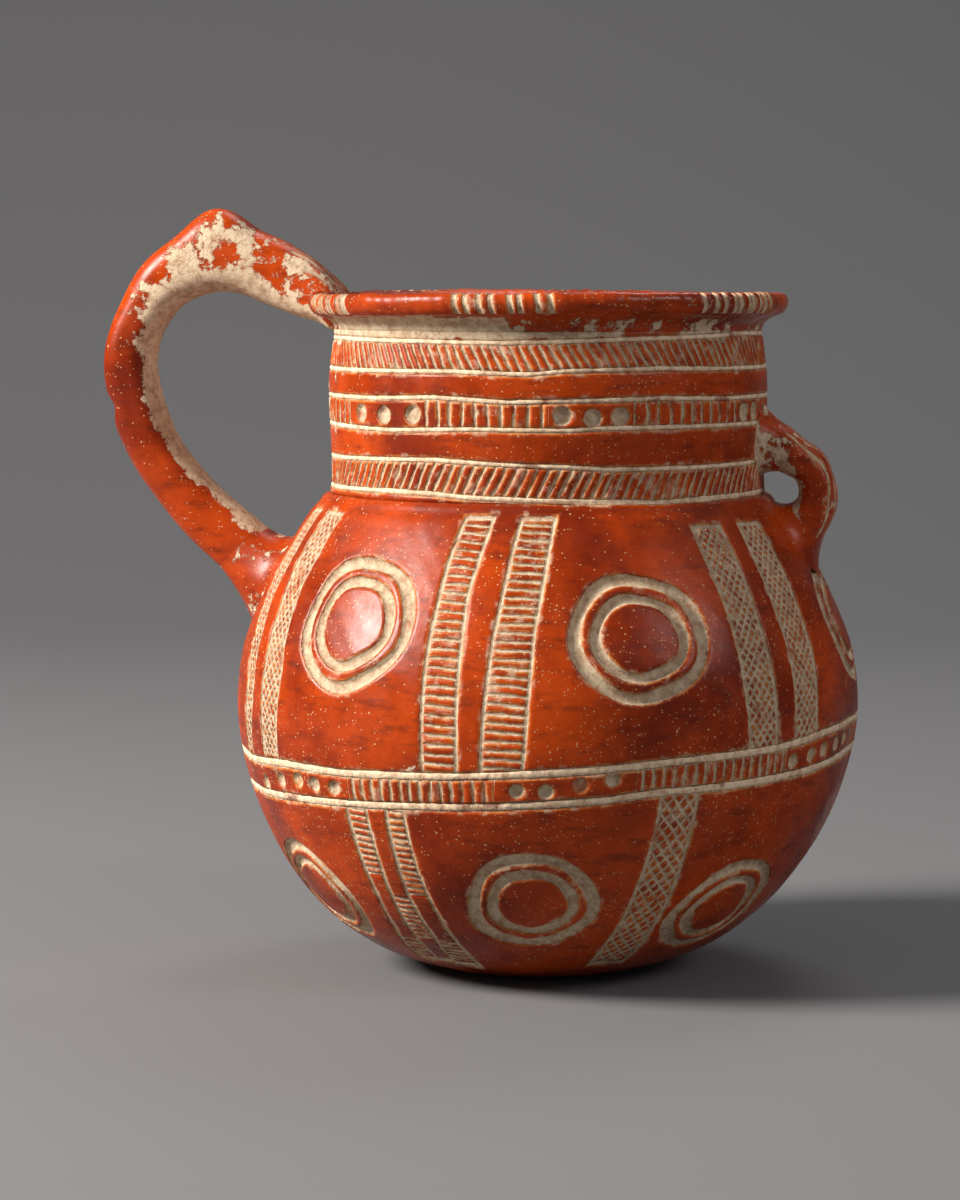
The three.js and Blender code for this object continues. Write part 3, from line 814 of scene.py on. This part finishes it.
# Angles of the notches, how far each strays, how far it tilts, and the lip's face that they are cut in.
NOTCHES = [-69, -66, -63.5, -61, -58, -55.5, -53, -50, -47.5, -45.5, -12, -8.8, -6, -3, 1, 4, 7.3, 11.2, 49.5,
           52.5, 56, 59, 62, 64.5, 67, 69.5, 72, 75, 112, 116, 120, 124, 128, 132, 170, 174, 178, 182, 186,
           190, 222, 226, 230, 234]
NOTCH_HALF = 0.75
NOTCH_DEPTH = 0.7
NOTCH_SLOPE = (-0.7, 0.4)
NOTCH_STRAY = 0.5
NOTCH_TILT = 0.12
NOTCH_Z = 193
NOTCH_FACE_Z = (189.8, 189.8 + 1.5)
NOTCH_FACE_R = (66 - 2.5, 66)

section = smooth_path(LIP, LIP_ROWS)
psi = np.broadcast_to(columns, (LIP_ROWS, COLUMNS))
lip_r = np.broadcast_to(section[:, :1], psi.shape)
lip_z = np.broadcast_to(section[:, 1:], psi.shape)
face = step_up(*NOTCH_FACE_Z, lip_z) * step_up(*NOTCH_FACE_R, lip_r)
tilt = NOTCH_TILT * (lip_z - NOTCH_Z)
notch_angles = [centre + NOTCH_STRAY * np.sin(centre) for centre in NOTCHES]
gap = np.min([np.abs(around(psi, centre) + tilt) for centre in notch_angles], axis=0)
lip_edge = np.where(face > 0.5, gap * math.pi / 180 * lip_r - NOTCH_HALF, FAR)
away_r, away_z = lip_r - LIP_MIDDLE_R, lip_z - LIP_MIDDLE_Z
away = np.hypot(away_r, away_z)
free = step_up(*LIP_FREE, lip_z)
swell = free * (0.45 * hand(psi, lip_z, seed=4.4) + 0.25 * hand(5 * psi, lip_z, seed=1.1))
swell = swell - NOTCH_DEPTH * face * (1 - step_up(*NOTCH_SLOPE, lip_edge))
r = lip_r + swell * away_r / away
angle = np.radians(psi)
wave = free * LIP_WARP * np.sin(2 * angle + 0.6)
lip_rings = np.stack([r * np.sin(angle), -r * np.cos(angle), lip_z + swell * away_z / away + wave], axis=-1)
lip_fields = list(no_cuts(psi.shape))
lip_fields[0] = lip_edge
under_lip = step_up(191.5, 188, lip_z) * step_up(60, 62, lip_r)
left_side = 0.35 + 0.65 * step_up(40, 10, np.abs(around(psi, -35)))
lip_crust = 0.3 + 1.15 * under_lip * left_side + 0.3 * step_up(66, 60, lip_r) * step_up(188, 190, lip_z)
lip = make_solid("lip_clay", lip_rings, lip_fields, lip_crust)
lip.data.materials.append(body_look)
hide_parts("rim_lip")

# Handle
# A rod of clay with a thumb spur at its top bend, pushed through the shoulder at its foot and drawn over the
# lip. Its upper end is striated lengthwise and thickly crusted with lime. Rows are x, z and thickness along
# the middle line, and places along it are shares of its rows, counted from the foot.
HANDLE_PATH = [
    (-79, 108.5, 19.5), (-85.5, 115.8, 18.2), (-93.4, 122.8, 17.4), (-103.4, 131.6, 16.2),
    (-111.6, 140.6, 15.4), (-118.2, 150, 15), (-123.2, 161.5, 15.4), (-125.4, 173, 14.9),
    (-124.6, 182, 14.8), (-121.4, 190, 15), (-115, 198.6, 16.4), (-106.5, 203.7, 17.8), (-97, 205.7, 18.4),
    (-88, 204.4, 18.6), (-79.5, 201, 18.4), (-71.5, 197, 16.6), (-65, 193, 13), (-60.6, 188, 8)]
HANDLE_WIDTH = 19.0
HANDLE_ROWS = 240
ROD_SIDES = 120
SQUARENESS = 0.78
SPUR_HEIGHT = 6.4
SPUR_PLACE = 0.70
SPUR_SPREAD = 0.042
CHIP_DEPTH = 1.6
CHIP_PLACE = 0.365
CHIP_SPREAD = 0.014
STRAKE_PITCH = 3.4
STRAKE_HALF = 0.45
STRAKE_DEPTH = 0.5
STRAKE_SLOPE = (-0.5, 0.4)


def rod_frame(rows, count):
    """Middle line with its thickness, and the direction inwards, at a number of places on a smooth path."""
    line = smooth_path(rows, count)
    slope = np.gradient(line[:, :2], axis=0)
    slope /= np.linalg.norm(slope, axis=1)[:, None]
    inward = np.stack([slope[:, 1], -slope[:, 0]], axis=1)
    return line, inward


def rounded(value):
    """A sine or cosine pushed towards 1 and -1 by a power below one, which squares a circle."""
    return np.sign(value) * np.abs(value) ** SQUARENESS


def rod_points(line, inward, a, half_width, extra):
    """Rounded square section of a rod.

    It spans the half width to each side along Y and half the thickness towards the pot and away from it, and
    extra is added outside.
    """
    side = rounded(np.cos(a)) * half_width
    towards = rounded(np.sin(a)) * line[:, 2:3] / 2 - extra * np.clip(-np.sin(a), 0, 1)
    x = line[:, 0:1] + inward[:, 0:1] * towards
    z = line[:, 1:2] + inward[:, 1:2] * towards
    return np.stack([x, np.broadcast_to(side, x.shape), z], axis=-1)


def add_rod(name, node, points, edge, crust):
    """A rod closed at both ends, cut where edge is negative. Its columns are reversed to face outwards."""
    fields = list(no_cuts(points.shape[:2]))
    fields[0] = edge
    fields = [field[:, ::-1] for field in fields]
    piece = make_solid(name, points[:, ::-1], fields, crust[:, ::-1], poles=True)
    piece.data.materials.append(handle_look)
    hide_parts(node)


handle_look = slipped_clay("handle_slip", brightness=1.05, speckle=0.16)
line, inward = rod_frame(HANDLE_PATH, HANDLE_ROWS)
t = np.linspace(0, 1, HANDLE_ROWS)[:, None]
a = np.linspace(0, 2 * math.pi, ROD_SIDES, endpoint=False)[None, :]
top_flare = 0.30 * step_up(0.82, 1, t)
foot_flare = 0.12 * step_up(0.12, 0, t)
waist = 0.06 * np.exp(-((t - 0.5) / 0.15) ** 2)
half_width = HANDLE_WIDTH / 2 * (1 + top_flare + foot_flare - waist)
spur = SPUR_HEIGHT * np.exp(-((t - SPUR_PLACE) / SPUR_SPREAD) ** 2)
chip = -CHIP_DEPTH * np.exp(-((t - CHIP_PLACE) / CHIP_SPREAD) ** 2)
kneading = 0.45 * np.sin(9 * t * math.pi + 2 * a) + 0.3 * np.sin(23 * t + 3 * a) + 0.25 * np.sin(41 * t - a)
groove_top = step_up(0.80, 0.86, t) * np.clip(-np.sin(a), 0, 1)
rod = rod_points(line, inward, a, half_width + 0.3 * kneading, spur + chip + 0.5 * kneading)
strake = np.abs((rod[..., 1] / STRAKE_PITCH) % 1 - 0.5) * STRAKE_PITCH
rod_edge = np.where(groove_top > 0.35, strake - STRAKE_HALF, FAR)
rod[..., 2] -= STRAKE_DEPTH * (1 - step_up(*STRAKE_SLOPE, rod_edge)) * groove_top
inner_face = np.clip(np.sin(a), 0, 1)
near_face = np.clip(-rod[..., 1] / half_width, 0, 1)
top_arch = step_up(0.42, 0.55, t) * (1 - 0.5 * step_up(0.93, 1.0, t))
top_crust = top_arch * (0.46 * near_face + 0.14)
foot_crust = 0.35 * step_up(0.16, 0.04, t) * near_face
rod_crust = 0.16 + top_crust + 0.95 * inner_face ** 1.3 + foot_crust
add_rod("handle_clay", "handle", rod, rod_edge, rod_crust)

# Lutes
# Soft clay worked round each end of the handle and the lug with the fingers, feathered out onto the wall.
LUTE_SIDES = 120
LUTE_ROWS = 22
ring = np.linspace(0, 2 * math.pi, LUTE_SIDES, endpoint=False)


def add_lute(name, node, grip, heel, foot, under, crust, at_start):
    """A fillet ring: from the grip on the rod in a hollow curve to its foot on the wall, then back under it.

    The hollow curve is a quadratic from grip to foot, and its control point is the heel, where the rod meets
    the wall. At the end of the rod's path, not at its start, the rings are reversed to face outwards.
    """
    share = np.linspace(0, 1, LUTE_ROWS)[:, None, None]
    bend = (1 - share) ** 2 * grip + 2 * share * (1 - share) * heel + share ** 2 * foot
    back = np.stack([0.4 * foot + 0.6 * under, under, 0.5 * grip + 0.5 * under])
    rings = np.concatenate([bend, back])
    if not at_start:
        rings = rings[:, ::-1]
    piece = make_solid(name, rings, no_cuts(rings.shape[:2]), np.full(rings.shape[:2], crust))
    piece.data.materials.append(handle_look)
    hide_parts(node)


def wall_oval(psi_centre, z_centre, half_across, half_up, push):
    """An oval on the pot's skin, half_across sideways and half_up up and down, pushed along the normal."""
    z = z_centre + half_up * np.sin(ring)
    psi = psi_centre + np.degrees(half_across * np.cos(ring) / radius_at(z))
    return on_pot(psi, z, push)


def rod_ring(line, inward, place, half_width, shrink):
    """One section of a rod, taken at a share of its rows and drawn in or swelled by a little."""
    index = int(place * len(line))
    row = line[index:index + 1] * np.array([1, 1, shrink])
    return rod_points(row, inward[index:index + 1], ring[None, :], half_width * shrink, 0)[0]


# The foot lute, round the handle where it goes through the shoulder.
FOOT_Z = 113.6
grip = rod_ring(line, inward, 0.12, HANDLE_WIDTH / 2 - 0.1, 0.975)
heel = rod_ring(line, inward, 0.035, HANDLE_WIDTH / 2 + 1.6, 1.03)
foot_oval = wall_oval(-90, FOOT_Z, -17.5, 16.5, -0.25)
under_oval = wall_oval(-90, FOOT_Z, -7, 7, -3.0)
add_lute("foot_lute_clay", "handle_foot_lute", grip, heel, foot_oval, under_oval, 0.58, at_start=True)

# The rim lute, spread along the lip from the handle's upper end.
LIP_SAMPLES = 400
lip_section = smooth_path(LIP, LIP_SAMPLES)


def lip_oval(half_across, start, end, push):
    """An oval on the lip: half_across along the rim, and from one share of its section to another."""
    share = (start + end) / 2 + (end - start) / 2 * np.sin(ring)
    index = np.clip((share * (LIP_SAMPLES - 1)).astype(int), 0, LIP_SAMPLES - 1)
    section_r, section_z = lip_section[index, 0], lip_section[index, 1]
    off_r, off_z = section_r - LIP_MIDDLE_R, section_z - LIP_MIDDLE_Z
    size = np.hypot(off_r, off_z)
    r = section_r + push * off_r / size
    psi = np.radians(-90 - np.degrees(half_across * np.cos(ring) / section_r))
    return np.stack([r * np.sin(psi), -r * np.cos(psi), section_z + push * off_z / size], axis=-1)


rim_grip = rod_ring(line, inward, 0.885, HANDLE_WIDTH / 2 - 0.1, 0.975)
rim_heel = rod_ring(line, inward, 0.94, HANDLE_WIDTH / 2 + 2.6, 1.04)
lip_foot = lip_oval(-27, 0.78, 0.30, 0.05)
lip_under = lip_oval(-12, 0.7, 0.42, -3.0)
add_lute("rim_lute_clay", "handle_rim_lute", rim_grip, rim_heel, lip_foot, lip_under, 0.6, at_start=False)

# String lug
# A strap of clay bent from the neck to the shoulder opposite the handle, with an upright oval hole for a
# cord, and a lute at each end. Rows are x, z and thickness along the middle line.
LUG_PATH = [
    (60, 153.6, 17), (66, 152.4, 14.2), (71.6, 149.7, 11.6), (76.4, 146.3, 10.6), (78.7, 141, 10.7),
    (78.2, 135.4, 11.4), (74.8, 130.2, 14.4), (70, 126, 18)]
LUG_HALF_WIDTH = 8.0
LUG_FLARE = 0.2
LUG_ROWS = 120
CREASE_PITCH = 4.2
CREASE_HALF = 0.35
LUG_NECK_Z = 153.6
LUG_SHOULDER_Z = 127

lug_line, lug_inward = rod_frame(LUG_PATH, LUG_ROWS)
t = np.linspace(0, 1, LUG_ROWS)[:, None]
half_width = LUG_HALF_WIDTH * (1 + LUG_FLARE * np.abs(2 * t - 1) ** 2)
lug_uneven = 0.3 * np.sin(8 * t * math.pi + 2 * a) + 0.2 * np.sin(17 * t + 3 * a)
strap = rod_points(lug_line, lug_inward, a, half_width + 0.5 * lug_uneven, 0.6 * lug_uneven)
crease = np.abs((strap[..., 1] / CREASE_PITCH) % 1 - 0.5) * CREASE_PITCH
outer_side = np.clip(-np.sin(a), 0, 1) * step_up(0.1, 0.3, t)
strap_edge = np.where(outer_side > 0.3, crease - CREASE_HALF, FAR)
strap_crust = 0.4 + 0.7 * np.clip(np.sin(a), 0, 1) + 0.35 * np.abs(2 * t - 1)
add_rod("lug_clay", "string_lug", strap, strap_edge, strap_crust)

neck_grip = rod_ring(lug_line, lug_inward, 0.27, LUG_HALF_WIDTH + 0.3, 0.97)
neck_heel = rod_ring(lug_line, lug_inward, 0.10, LUG_HALF_WIDTH + 0.8, 1.03)
neck_foot = wall_oval(90, LUG_NECK_Z, 12.5, -10.5, -0.2)
neck_under = wall_oval(90, LUG_NECK_Z, 5, -4, -2.6)
add_lute("lug_neck_lute_clay", "lug_neck_lute", neck_grip, neck_heel, neck_foot, neck_under, 0.75,
         at_start=True)
low_grip = rod_ring(lug_line, lug_inward, 0.76, LUG_HALF_WIDTH + 0.4, 0.97)
low_heel = rod_ring(lug_line, lug_inward, 0.90, LUG_HALF_WIDTH + 0.8, 1.0)
low_foot = wall_oval(90, LUG_SHOULDER_Z, 13, 11, -0.2)
low_under = wall_oval(90, LUG_SHOULDER_Z, 5, 5, -2.6)
add_lute("lug_shoulder_lute_clay", "lug_shoulder_lute", low_grip, low_heel, low_foot, low_under, 0.5,
         at_start=False)

# Tenon pad
# The clay smoothed over the handle's tenon inside the wall, left bare and rough. The CAD solid stays.
CLAY_DARK = (0.20, 0.075, 0.035, 1)
CLAY_BUFF = (0.36, 0.16, 0.075, 1)
SMUDGE_SCALE = 70
SAND_SCALE = 500
BARE_ROUGHNESS = 0.85
BARE_RELIEF = 0.6


def bare_clay():
    """Unslipped clay: buff with darker smudges and a sandy grain."""
    g = Graph("bare_clay")
    tone = g.mix(g.ramp(g.noise(SMUDGE_SCALE, 5, 0.6), 0.35, 0.65), CLAY_DARK, CLAY_BUFF)
    g.put(g.shader.inputs["Base Color"], tone)
    g.shader.inputs["Roughness"].default_value = BARE_ROUGHNESS
    g.relief(g.math("MULTIPLY", g.noise(SAND_SCALE, 6, 0.7), 0.5), BARE_RELIEF)
    return g.material


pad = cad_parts["tenon_pad"]
pad.data.materials.clear()
pad.data.materials.append(bare_clay())

# Lime lines
# Powdered lime pressed into the six neck lines and the two girdle lines after firing, pitted and uneven.
# Its middle lies LIME_SUNK below the wall's skin.
LIME_COLUMNS = 900
LIME_SIDES = 10
LIME_FILL = 0.78
LIME_SUNK = 0.42
LIME_HALF_HEIGHT = 0.34
CHALK_SCALE = 700
LIME_ROUGHNESS = 0.92
LIME_RELIEF = 0.9


def lime_look():
    """Chalky cream lime, pitted, with painted shade in its small pits, browned where it has worn thin."""
    g = Graph("lime")
    powder = lime_powder(g)
    stained = g.mix(g.ramp(g.noise(LOST_SCALE, 4, 0.65), 0.60, 0.68, 0.0, 0.7), powder, SLIP_DEEP)
    g.put(g.shader.inputs["Base Color"], stained)
    g.shader.inputs["Roughness"].default_value = LIME_ROUGHNESS
    g.relief(g.math("MULTIPLY", g.noise(CHALK_SCALE, 5, 0.7), 0.7), LIME_RELIEF)
    return g.material


lime = lime_look()


def add_lime(name, node, line, half, seed):
    """A ring of lime: a flattened oval section along the line's wavy height, uneven in width and in level."""
    a = np.linspace(0, 2 * math.pi, LIME_SIDES, endpoint=False)[:, None]
    psi = (np.arange(LIME_COLUMNS) * 360 / LIME_COLUMNS - 180)[None, :]
    width = half * (LIME_FILL + 0.14 * hand(4 * psi, 40 * seed, seed) + 0.10 * hand(11 * psi, 0, seed + 1))
    level = -LIME_SUNK + 0.16 * hand(6 * psi, 20, seed + 2) + 0.10 * hand(17 * psi, 0, seed)
    z = line_height(line, psi) + width * np.cos(a)
    push = surface_noise(psi, z) + level + LIME_HALF_HEIGHT * np.sin(a)
    rings = on_pot(psi, z, push)
    piece = make_solid(name, rings[::-1], no_cuts(rings.shape[:2]), np.zeros(rings.shape[:2]))
    piece.data.materials.append(lime)
    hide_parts(node)


for number, line_points in enumerate(NECK_LINES, 1):
    add_lime(f"neck_lime_{number}", f"neck_inlay_{number}", line_points, NECK_HALF, number)
add_lime("girdle_lime_lower", "girdle_inlay_lower", GIRDLE_LOWER, GIRDLE_HALF, 7.3)
add_lime("girdle_lime_upper", "girdle_inlay_upper", GIRDLE_UPPER, GIRDLE_HALF, 8.1)
